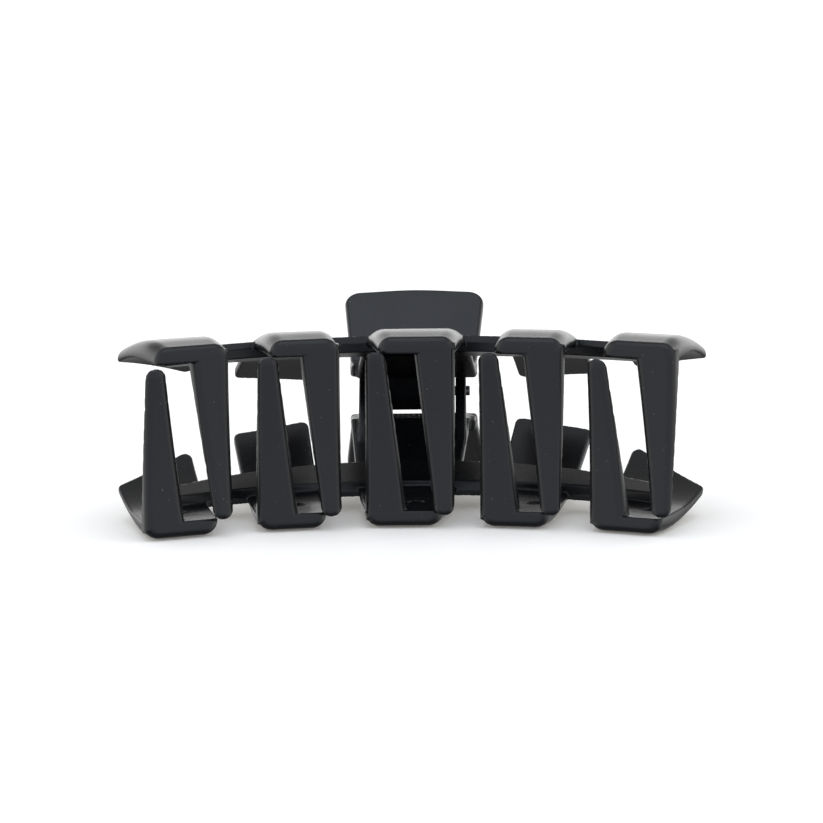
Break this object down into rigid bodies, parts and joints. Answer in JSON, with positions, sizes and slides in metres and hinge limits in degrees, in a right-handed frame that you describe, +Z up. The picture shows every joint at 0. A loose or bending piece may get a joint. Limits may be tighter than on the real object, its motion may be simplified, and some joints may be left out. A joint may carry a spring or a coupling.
{
  "type": "claw clip",
  "caption": "Long hair claw clip with two curved, ribbed jaws that mesh, wide thumb plates, and a pin hinge closed by a torsion spring.",
  "frame": {"origin": "under the middle of the closed clip's box, on the surface the clip lies on", "axes": "+X along the hinge pin and the clip's length, +Y from the teeth to the thumb plates, +Z up through the upper jaw"},
  "size_m": [0.115, 0.0733, 0.0378],
  "materials": {
    "jaw_plastic": "soft-touch satin black, very fine moulded grain",
    "pin_steel": "dark blackened steel wire, cut end",
    "spring_steel": "dark oiled spring wire"
  },
  "bodies": {
    "lower_jaw": {"lower_jaw": "jaw_plastic", "hinge_pin": "pin_steel", "torsion_spring": "spring_steel"},
    "upper_jaw": {"upper_jaw": "jaw_plastic"}
  },
  "joints": [
    {"name": "jaw_hinge", "type": "hinge", "parent": "lower_jaw", "child": "upper_jaw", "pos_m": [0, 0.02271, 0.0189], "axis": [-1, 0, 0], "range_deg": [0, 65], "stiffness_Nm_per_rad": 0.15, "springref_deg": -30.37, "deforming": ["torsion_spring"]}
  ]
}
